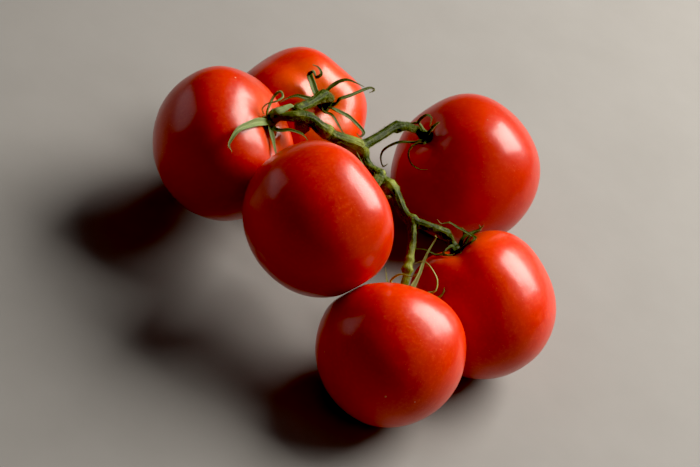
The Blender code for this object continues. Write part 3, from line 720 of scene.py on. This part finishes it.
def blade_mesh(route, facing, widest, tip, pale, seed):
    """A fine sepal along a route: folded along its midrib, thickest there, with a wavy, thin edge."""
    count = len(route)
    normal = facing.copy()
    rows = []
    across = []
    along = []
    length = 0.0
    for k, point in enumerate(route):
        before = route[max(k - 1, 0)]
        after = route[min(k + 1, count - 1)]
        length += (point - before).length
        tangent = (after - before).normalized()
        normal += facing * (SEPAL_LEAN * POINTS_A_SPAN / BLADE_FINENESS)
        normal = (normal - tangent * normal.dot(tangent)).normalized()
        side = tangent.cross(normal)
        share = k / (count - 1)
        half = sepal_half_width(share, widest, tip)
        half *= 1 + WIDTH_WAVE * noise.noise(Vector((length * WIDTH_WAVES, seed, 0.0)))
        half += (BLADE_TIP - half) * max((share - TIP_FROM) / (1 - TIP_FROM), 0.0) ** 2
        bend = (after - 2 * point + before) / max((after - before).length_squared / 4, SHARPEST_BEND)
        half = min(half, BEND_ROOM / max(abs(bend.dot(side)), SHARPEST_BEND))
        upper = []
        lower = []
        for u in STEPS_ACROSS:
            place = Vector((length * EDGE_WAVES, seed + EDGE_SEED, u * EDGE_WAVE_ACROSS))
            wave = EDGE_WAVE * half * noise.noise(place)
            level = BLADE_FOLD * half * (abs(u) ** FOLD_CURVE - FOLD_LEVEL) + wave * abs(u)
            thick = BLADE_EDGE + (BLADE_THICKNESS - BLADE_EDGE) * (1 - abs(u)) ** THICKNESS_CURVE
            thick *= min(1.0, half / THINNER_BELOW)
            rib = RIB_HEIGHT * thick * exp(-((u / RIB_WIDTH) ** 2))
            upper.append(point + side * (u * half) + normal * level)
            lower.append(point + side * (u * half) + normal * (level - thick - rib))
        rows.append(upper + lower[::-1])
        across += STEPS_ACROSS + STEPS_ACROSS[::-1]
        along += [length] * (2 * BLADE_ACROSS)
    mesh = grid_mesh("blade", rows)
    across += [0.0, 0.0]
    along += [0.0, length]
    dried = BROAD_TIP_DRIED if tip > BLADE_TIP else 1.0
    shares = [dried * a / length for a in along]
    attributes(mesh, across=across, along=along, share=shares, pale=[pale] * len(along))
    return mesh


def disc_mesh(tomato, bearings):
    """The fine disc of a calyx: low, ribbed towards each sepal, and closed underneath."""
    seat = tomato.middle + tomato.up * tomato.seat()
    rows = []
    for ring in range(DISC_RINGS + 1):
        share = ring / DISC_RINGS
        row = []
        for k in range(DISC_SEGMENTS):
            round_it = tau * k / DISC_SEGMENTS
            rib = sum(exp(-((1 - cos(round_it - bearing)) / DISC_RIB_WIDTH)) for bearing in bearings)
            outer = HUB_RADIUS * (DISC_EDGE + DISC_RIB * min(rib, DISC_RIB_MOST))
            radius = outer + (HUB_TOP_RADIUS - outer) * share**DISC_CURVE
            height = HUB_HEIGHT * share**DISC_RISE
            own = Vector((radius * cos(round_it), radius * sin(round_it), height))
            row.append(seat + tomato.turn @ own)
        rows.append(row)
    mesh = grid_mesh("disc", rows)
    count = len(mesh.vertices)
    none = [0.0] * count
    attributes(mesh, across=[0.5] * count, along=none, share=none, pale=[PALENESS_AND_PAINTED_LIGHT[tomato.number]] * count)
    return mesh


def fine_route(route, tomatoes, limbs):
    """The blade's route through its guides: the solid's own, drawn with more points."""
    for fineness in (POINTS_A_SPAN, BLADE_FINENESS // POINTS_A_SPAN):
        route = route[:1] + [cleared_of_all(point, tomatoes, limbs) for point in route[1:]]
        route = smooth_route(route, fineness)
    return route


def calyx_piece(tomato, tomatoes, limbs, finish):
    """A calyx's disc and sepals."""
    blades = []
    bearings = []
    half_up = (tomato.up + TO_VIEWER * VIEWER_SHARE).normalized()
    routes = [(width, half_up, seen_sepal_guides(tomato, points))
              for width, points in SEPALS[tomato.number]]
    routes += [(BACK_SEPAL_HALF_WIDTH, tomato.up, back_sepal_guides(tomato, degrees, length))
               for degrees, length in BACK_SEPALS.get(tomato.number, [])]
    for number, (width, facing, guides) in enumerate(routes):
        route = fine_route(guides, tomatoes, limbs)
        tip = BROAD_TIPS.get((tomato.number, number), BLADE_TIP)
        if (tomato.number, number) in FACINGS:
            facing = (LAID_DOWN @ Vector(FACINGS[tomato.number, number])).normalized()
        if tip > BLADE_TIP:
            width += BROAD_EXTRA
            tip += BROAD_EXTRA
        seed = tomato.number * 10.0 + number
        blades.append(blade_mesh(route, facing, width, tip, PALENESS_AND_PAINTED_LIGHT[tomato.number], seed))
        outward = tomato.turn.transposed() @ (route[BLADE_FINENESS] - route[0])
        bearings.append(atan2(outward.y, outward.x))
    mesh = joined_mesh(f"calyx_{tomato.number}_sepals", [disc_mesh(tomato, bearings)] + blades)
    piece = new_piece(mesh, finish)
    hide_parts(f"calyx_{tomato.number}")
    return piece


def ways_along(points):
    """The direction of a limb at each of its points."""
    before = points[:1] + points[:-1]
    after = points[1:] + points[-1:]
    return [(end.xyz - start.xyz).normalized() for start, end in zip(before, after)]


def limb_mesh(points, seed):
    """A length of stem with low ridges along it, round its points, each (x, y, z, radius)."""
    tangents = ways_along(points)
    normal = tangents[0].orthogonal().normalized()
    rows = []
    for k, point in enumerate(points):
        normal = (normal - tangents[k] * normal.dot(tangents[k])).normalized()
        side = tangents[k].cross(normal)
        row = []
        for step in range(STEM_SIDES):
            angle = tau * step / STEM_SIDES
            radius = point.w * (1 + STEM_RIDGE * cos(STEM_RIDGES * angle + seed + RIDGE_TWIST * k))
            row.append(point.xyz + (normal * cos(angle) + side * sin(angle)) * radius)
        rows.append(row)
    return grid_mesh("limb", rows)


def shape_limb(limb):
    """Makes up for what smoothing takes off a limb, and raises a ring wherever it is thickest."""
    thick = [point.w for point in limb]
    near = KNUCKLE_REACH
    rings = [k for k in range(near, len(limb) - 2 * near)
             if thick[k] > max(thick[k - near], thick[k + near])
             and thick[k] == max(thick[k - near : k + near + 1])]
    for k, point in enumerate(limb):
        gaps = [(point.xyz - limb[ring].xyz).length for ring in rings]
        rise = max([exp(-((gap / KNUCKLE_LENGTH) ** 2)) for gap in gaps] or [0.0])
        point.w = thick[k] * STEM_FULLNESS + KNUCKLE_RISE * rise


def remeshed(name, mesh):
    """The mesh with all of its overlapping shapes run together, and its creases smoothed."""
    rough = linked(name, mesh)
    remesh = rough.modifiers.new("remesh", "REMESH")
    remesh.mode = "VOXEL"
    remesh.voxel_size = STEM_VOXEL
    remesh.use_smooth_shade = True
    smooth = rough.modifiers.new("smooth", "SMOOTH")
    smooth.iterations = SMOOTH_STEPS
    fused = bpy.data.meshes.new_from_object(rough.evaluated_get(bpy.context.evaluated_depsgraph_get()))
    fused.name = name
    bpy.data.objects.remove(rough)
    return fused


def limb_places(limbs):
    """A tree that finds a limb's point, and each point's way along its limb, length, dryness, and the
    painted light and shade of its stalk.
    """
    tree = KDTree(sum(len(limb) for limb in limbs))
    places = []
    for number, limb in enumerate(limbs):
        length = 0.0
        for before, point, way in zip(limb[:1] + limb, limb, ways_along(limb)):
            length += (point.xyz - before.xyz).length
            tree.insert(point.xyz, len(places))
            dried = max(0.0, 1 - length / STUB_LENGTH) if number == 0 else 0.0
            painted_light_and_shade = STALK_PAINTED_LIGHT_AND_SHADE.get(number, 0.0) * min(length / PAINTED_LIGHT_LENGTH, 1.0)
            places.append((point, way, length, dried, painted_light_and_shade))
    tree.balance()
    return tree, places


def wart_places(mesh):
    """A tree that finds a wart, and the warts' radii."""
    tree = KDTree(STEM_WARTS)
    radii = []
    for k in range(STEM_WARTS):
        tree.insert(random.choice(mesh.vertices).co / MM, k)
        radii.append(random.uniform(*WART_RADIUS))
    tree.balance()
    return tree, radii


def stem_piece(limbs, finish):
    """The grown stem: its limbs run into each other without a seam, with a lumpy, ridged skin."""
    fine = [smooth_route(limb, FINE_LIMB_POINTS) for limb in limbs]
    for limb in fine:
        shape_limb(limb)
    mesh = joined_mesh("limbs", [limb_mesh(limb, number) for number, limb in enumerate(fine)])
    mesh.transform(Matrix.Scale(1 / MM, 4))
    fused = remeshed("stem_fine", mesh)
    fused.transform(Matrix.Scale(MM, 4))
    piece = new_piece(fused, finish)
    tree, places = limb_places(fine)
    warts, wart_radii = wart_places(fused)
    numbers = {"grain": [], "dry": [], "painted_light_and_shade": [], "swell": []}
    moved = []
    for vert in fused.vertices:
        place = vert.co / MM
        centre, tangent, length, dried, painted_light_and_shade = places[tree.find(place)[1]]
        arm = place - centre.xyz
        length += arm.dot(tangent)
        arm = (arm - tangent * arm.dot(tangent)).normalized()
        streak = noise.fractal(Vector((length * STREAK_ALONG, 0.0, 0.0)) + arm * STREAK_ROUND, *STREAK_NOISE)
        lump = noise.fractal(place * LUMP_SCALE, *SOFT_NOISE)
        numbers["grain"].append(0.5 + 0.5 * streak)
        numbers["dry"].append(dried)
        numbers["painted_light_and_shade"].append(painted_light_and_shade)
        numbers["swell"].append(centre.w)
        wart, gap = warts.find(place)[1:]
        wart_rise = WART_HEIGHT * wart_radii[wart] * exp(-((gap / wart_radii[wart]) ** 2))
        moved.append(vert.co + vert.normal * (STEM_LUMP * lump + STEM_STREAK * streak + wart_rise) * MM)
    for vert, place in zip(fused.vertices, moved):
        vert.co = place
    attributes(fused, **numbers)
    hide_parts("stem")
    return piece


def hair_piece(name, bases, length, finish):
    """Fine hairs that stand out of a surface: slim three-sided spikes, sunk a little into it."""
    form = bmesh.new()
    for base, outward in bases:
        lean = Vector([random.gauss(0, HAIR_LEAN) for _ in range(3)])
        way = (outward + lean).normalized()
        side = way.orthogonal().normalized()
        other = way.cross(side)
        reach = length * random.uniform(*HAIR_LENGTHS)
        root = base - outward * HAIR_ROOT
        ring = [form.verts.new((root + (side * cos(angle) + other * sin(angle)) * HAIR_RADIUS) * MM)
                for angle in HAIR_ANGLES]
        tip = form.verts.new((root + way * reach) * MM)
        form.faces.new(reversed(ring))
        for near, far in zip(ring, ring[1:] + ring[:1]):
            form.faces.new((near, far, tip))
    return new_piece(mesh_of(name, form), finish)


def surface_bases(piece, count):
    """Random places on a piece's surface, with the way out of it."""
    chosen = [random.choice(piece.data.vertices) for _ in range(count)]
    return [(vert.co / MM, vert.normal.copy()) for vert in chosen]


class Nodes:
    """A short way to write down a material's nodes."""

    def __init__(self, name):
        self.material = bpy.data.materials.new(name)
        self.material.use_nodes = True
        self.tree = self.material.node_tree
        self.shader = self.tree.nodes["Principled BSDF"]

    def add(self, kind, inputs=None, **settings):
        """A node with its settings, and with its inputs set to values or linked to other sockets."""
        made = self.tree.nodes.new("ShaderNode" + kind)
        for key, value in settings.items():
            setattr(made, key, value)
        for key, value in (inputs or {}).items():
            self.put(made.inputs[key], value)
        return made

    def put(self, socket, value):
        """Sets a socket to a value, or links another socket to it."""
        if isinstance(value, bpy.types.NodeSocket):
            self.tree.links.new(value, socket)
        elif socket.type == "RGBA":
            socket.default_value = (*value, 1.0)
        else:
            socket.default_value = value

    def own_place(self, tomato=None):
        """Places in millimetres: in a tomato's own axes about its middle, or in the bunch's."""
        coordinates = self.add("TexCoord").outputs["Object"]
        if tomato is None:
            made = self.add("VectorMath", {0: coordinates, "Scale": 1 / MM}, operation="SCALE")
        else:
            made = self.add("Mapping", {
                "Vector": coordinates, "Location": tomato.middle * MM, "Rotation": tomato.turn.to_euler(),
                "Scale": (MM, MM, MM)}, vector_type="TEXTURE")
        return made.outputs["Vector"]

    def noise(self, place, scale, detail, roughness, stretch=None):
        """A noise value about 0.5, of a feature size of 1 / scale millimetres."""
        if stretch is not None:
            place = self.add("Mapping", {"Vector": place, "Scale": stretch}).outputs["Vector"]
        return self.add("TexNoise", {"Vector": place, "Scale": scale, "Detail": detail,
                                     "Roughness": roughness}).outputs["Fac"]

    def noises(self, place, kinds):
        """Several noise values by their names."""
        return {name: self.noise(place, *kind) for name, kind in kinds.items()}

    def spread(self, value, low, high, new_low=0.0, new_high=1.0):
        """The value from low to high spread over a new range, and clamped to it."""
        return self.add("MapRange", {"Value": value, "From Min": low, "From Max": high, "To Min": new_low,
                                     "To Max": new_high}, clamp=True).outputs["Result"]

    def maths(self, operation, *numbers):
        """One number from up to three."""
        return self.add("Math", dict(enumerate(numbers)), operation=operation).outputs[0]

    def border(self, value, by, low, high, reach, new_low=0.0, new_high=1.0):
        """As spread, but a noise moves the value up or down, as far as reach, for a ragged border."""
        moved = self.maths("ADD", value, self.spread(by, *NOISE_MIDDLE, -reach, reach))
        return self.spread(moved, low, high, new_low, new_high)

    def mix(self, share, one, other):
        """A colour between two colours."""
        return self.add("Mix", {"Factor": share, 6: one, 7: other}, data_type="RGBA").outputs[2]

    def layered(self, colour, values, layers):
        """A colour with layers over it, each where the value that it follows says."""
        for name, low, high, least, most, layer in layers:
            colour = self.mix(self.spread(values[name], low, high, least, most), colour, layer)
        return colour

    def number(self, name):
        """A mesh's own number at each point."""
        return self.add("Attribute", attribute_name=name).outputs["Fac"]

    def bump(self, height, strength, distance, normal=None):
        """A bump from a height, added to another bump if there is one."""
        made = self.add("Bump", {"Strength": strength, "Distance": distance * MM, "Height": height})
        if normal is not None:
            self.put(made.inputs["Normal"], normal)
        return made.outputs["Normal"]

    def finished(self, numbers, colour, roughness=None, normal=None):
        """The material: the shader's numbers that are alike all over, and what changes."""
        for key, value in numbers.items():
            self.shader.inputs[key].default_value = value
        for key, value in (("Base Color", colour), ("Roughness", roughness), ("Normal", normal)):
            if value is not None:
                self.put(self.shader.inputs[key], value)
        return self.material


def skin_material(tomato):
    """Ripe tomato skin: deep red, darker on some tomatoes partly as painted shade, with an orange flush
    round the calyx, pale specks and a waxy gloss.
    """
    nodes = Nodes(f"tomato_skin_{tomato.number}")
    place = nodes.own_place(tomato)
    values = nodes.noises(place, SKIN_NOISES)
    mottle = values["mottle"]
    colour = nodes.layered(DEEP_RED, values, SKIN_LAYERS)
    flush = nodes.border(nodes.number("from_stem"), values["clouds"], *FLUSH_BORDER, FLUSHES[tomato.number],
                         0.0)
    colour = nodes.mix(flush, colour, ORANGE)
    # Deeper red all over some tomatoes: partly their own colour, partly painted shade.
    colour = nodes.mix(DEEPNESS_AND_PAINTED_SHADE[tomato.number], colour, DARKEST_RED)
    specks = nodes.add("TexVoronoi", {"Vector": place, "Scale": SPECK_SCALE})
    size = nodes.spread(values["grain"], *SPECK_GRAIN, *SPECK_SIZES)
    core = nodes.maths("MULTIPLY", size, SPECK_CORE)
    speck = nodes.spread(specks.outputs["Distance"], size, core, 0.0, SPECK_PALE)
    colour = nodes.mix(speck, colour, SPECK)
    for side, radius, paleness in MARKS.get(tomato.number, []):
        way = LAID_DOWN @ Vector(side).normalized()
        spot = tomato.turn.transposed() @ way * tomato.reach(way)
        gap = nodes.add("VectorMath", {0: place, 1: spot}, operation="DISTANCE").outputs["Value"]
        mark = nodes.border(gap, mottle, radius, radius * MARK_CORE, MARK_RAGGED, 0.0, paleness)
        colour = nodes.mix(mark, colour, MARK_COLOUR)
    roughness = nodes.spread(mottle, *NOISE_MIDDLE, *SKIN_ROUGHNESS)
    height = nodes.maths("MULTIPLY_ADD", speck, SPECK_RISE, values["wax"])
    normal = nodes.bump(height, *WAX_BUMP, nodes.bump(values["dents"], *DENT_BUMP))
    return nodes.finished(SKIN_NUMBERS, colour, roughness, normal)


def stem_material():
    """The stem: green with yellower swellings, streaked along its length, dry brown at its cut end, with
    painted light making some stalks paler and painted shade making one darker.
    """
    nodes = Nodes("stem_green")
    values = nodes.noises(nodes.own_place(), STEM_NOISES)
    values |= {name: nodes.number(name) for name in ("grain", "swell", "painted_light_and_shade", "dry")}
    colour = nodes.layered(STEM_DARK, values, STEM_LAYERS)
    bark = nodes.mix(nodes.spread(values["fine"], *BARK_RANGE), DRY_DARK, DRY_LIGHT)
    colour = nodes.mix(nodes.border(values["dry"], values["mottle"], *CUT_BORDER), colour, bark)
    roughness = nodes.spread(values["fine"], *NOISE_MIDDLE, *STEM_ROUGHNESS)
    height = nodes.maths("MULTIPLY_ADD", values["grain"], GRAIN_RISE, values["fine"])
    return nodes.finished(LEAF_NUMBERS, colour, roughness, nodes.bump(height, *STEM_BUMP))


def sepal_material():
    """A sepal: grey-green with paler veins along it, a darker edge, and a dry brown tip; paler on some
    calyxes, partly as painted light.
    """
    nodes = Nodes("sepal_green")
    across = nodes.number("across")
    along = nodes.number("along")
    position = nodes.add("CombineXYZ", {"X": nodes.maths("MULTIPLY", across, VEINS_ACROSS),
                                        "Y": nodes.maths("MULTIPLY", along, VEINS_ALONG)}).outputs[0]
    values = {"veins": nodes.noise(position, *SEPAL_VEINS),
              "mottle": nodes.noise(nodes.own_place(), *SEPAL_MOTTLE),
              "edge": nodes.maths("ABSOLUTE", across)}
    colour = nodes.layered(SEPAL_DARK, values, SEPAL_LAYERS)
    # Paler green: partly a calyx's own colour, partly painted light on calyxes that lie in shade.
    colour = nodes.mix(nodes.number("pale"), colour, SEPAL_PALE)
    dried = nodes.mix(nodes.spread(values["veins"], *VEIN_RANGE), DRY_DARK, DRY_LIGHT)
    colour = nodes.mix(nodes.border(nodes.number("share"), values["mottle"], *TIP_BORDER), colour, dried)
    roughness = nodes.spread(values["mottle"], *NOISE_MIDDLE, *SEPAL_ROUGHNESS)
    height = nodes.maths("MULTIPLY_ADD", values["mottle"], MOTTLE_RISE, values["veins"])
    return nodes.finished(LEAF_NUMBERS, colour, roughness, nodes.bump(height, *SEPAL_BUMP))


def hair_material():
    """The fine hairs of the green parts."""
    nodes = Nodes("plant_hair")
    shade = nodes.noise(nodes.own_place(), *HAIR_NOISE)
    return nodes.finished(HAIR_NUMBERS, nodes.mix(shade, HAIR_DARK, HAIR_LIGHT))


def floor_piece():
    """A plain pale surface for the bunch to lie on. It isn't part of the bunch."""
    form = bmesh.new()
    bmesh.ops.create_grid(form, x_segments=2, y_segments=2, size=FLOOR_HALF_SIZE)
    floor_object = linked("floor", mesh_of("floor", form))
    nodes = Nodes("floor")
    shade = nodes.noise(nodes.own_place(), *FLOOR_NOISE)
    finish = nodes.finished(FLOOR_NUMBERS, nodes.mix(shade, FLOOR_DARK, FLOOR_LIGHT))
    floor_object.data.materials.append(finish)


def camera():
    """The camera, at the photo's viewing angle."""
    lens = bpy.data.cameras.new("camera")
    lens.lens = CAMERA_LENS
    lens.clip_start = CAMERA_CLIP
    made = linked("camera", lens)
    eye = LAID_DOWN @ Vector((0, 0, VIEW_DISTANCE)) - UNDER_MIDDLE
    made.matrix_world = Matrix.Translation(eye * MM) @ LAID_DOWN.to_4x4()
    bpy.context.scene.camera = made


def soft_light(name, towards, distance, size, power, colour):
    """A soft rectangular light. It stands in a direction as the camera sees it, and faces the bunch."""
    lamp = bpy.data.lights.new(name, "AREA")
    lamp.shape = "RECTANGLE"
    lamp.size = size[0]
    lamp.size_y = size[1]
    lamp.energy = power
    lamp.color = colour
    made = linked(name, lamp)
    back = Vector(towards).normalized()
    right = Vector((0.0, 1.0, 0.0)).cross(back).normalized()
    turn = LAID_DOWN @ Matrix((right, back.cross(right), back)).transposed()
    made.matrix_world = Matrix.Translation(BUNCH_MIDDLE + LAID_DOWN @ back * distance) @ turn.to_4x4()


def surroundings():
    """Dim, even light from all round."""
    world = bpy.data.worlds.new("surroundings")
    world.use_nodes = True
    light = world.node_tree.nodes["Background"]
    light.inputs["Color"].default_value = (*AMBIENT_COLOUR, 1.0)
    light.inputs["Strength"].default_value = AMBIENT_STRENGTH
    bpy.context.scene.world = world


def tones():
    """Plain tones with deep shadows, as in the photo."""
    view = bpy.context.scene.view_settings
    view.view_transform = "Standard"
    view.use_curve_mapping = True
    view.curve_mapping.black_level = (BLACK_LEVEL,) * 3
    view.curve_mapping.update()


def main():
    """Dresses the whole bunch."""
    random.seed(HAIR_SEED)
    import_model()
    tomatoes = [Tomato(number, **values) for number, values in enumerate(TOMATOES, start=1)]
    for first, one in enumerate(tomatoes):
        for other in tomatoes[first + 1 :]:
            press_together(one, other)
    limbs = stem_limbs(tomatoes)
    green = stem_material()
    leaf = sepal_material()
    down = hair_material()
    stem = stem_piece(limbs, green)
    hair_piece("stem_hairs", surface_bases(stem, STEM_HAIRS), STEM_HAIR_LENGTH, down)
    for tomato in tomatoes:
        skin_piece(tomato, skin_material(tomato))
        calyx = calyx_piece(tomato, tomatoes, limbs, leaf)
        hair_piece(f"calyx_{tomato.number}_hairs", surface_bases(calyx, SEPAL_HAIRS), SEPAL_HAIR_LENGTH,
                   down)
    floor_piece()
    camera()
    for light in LIGHTS:
        soft_light(*light)
    surroundings()
    tones()


main()
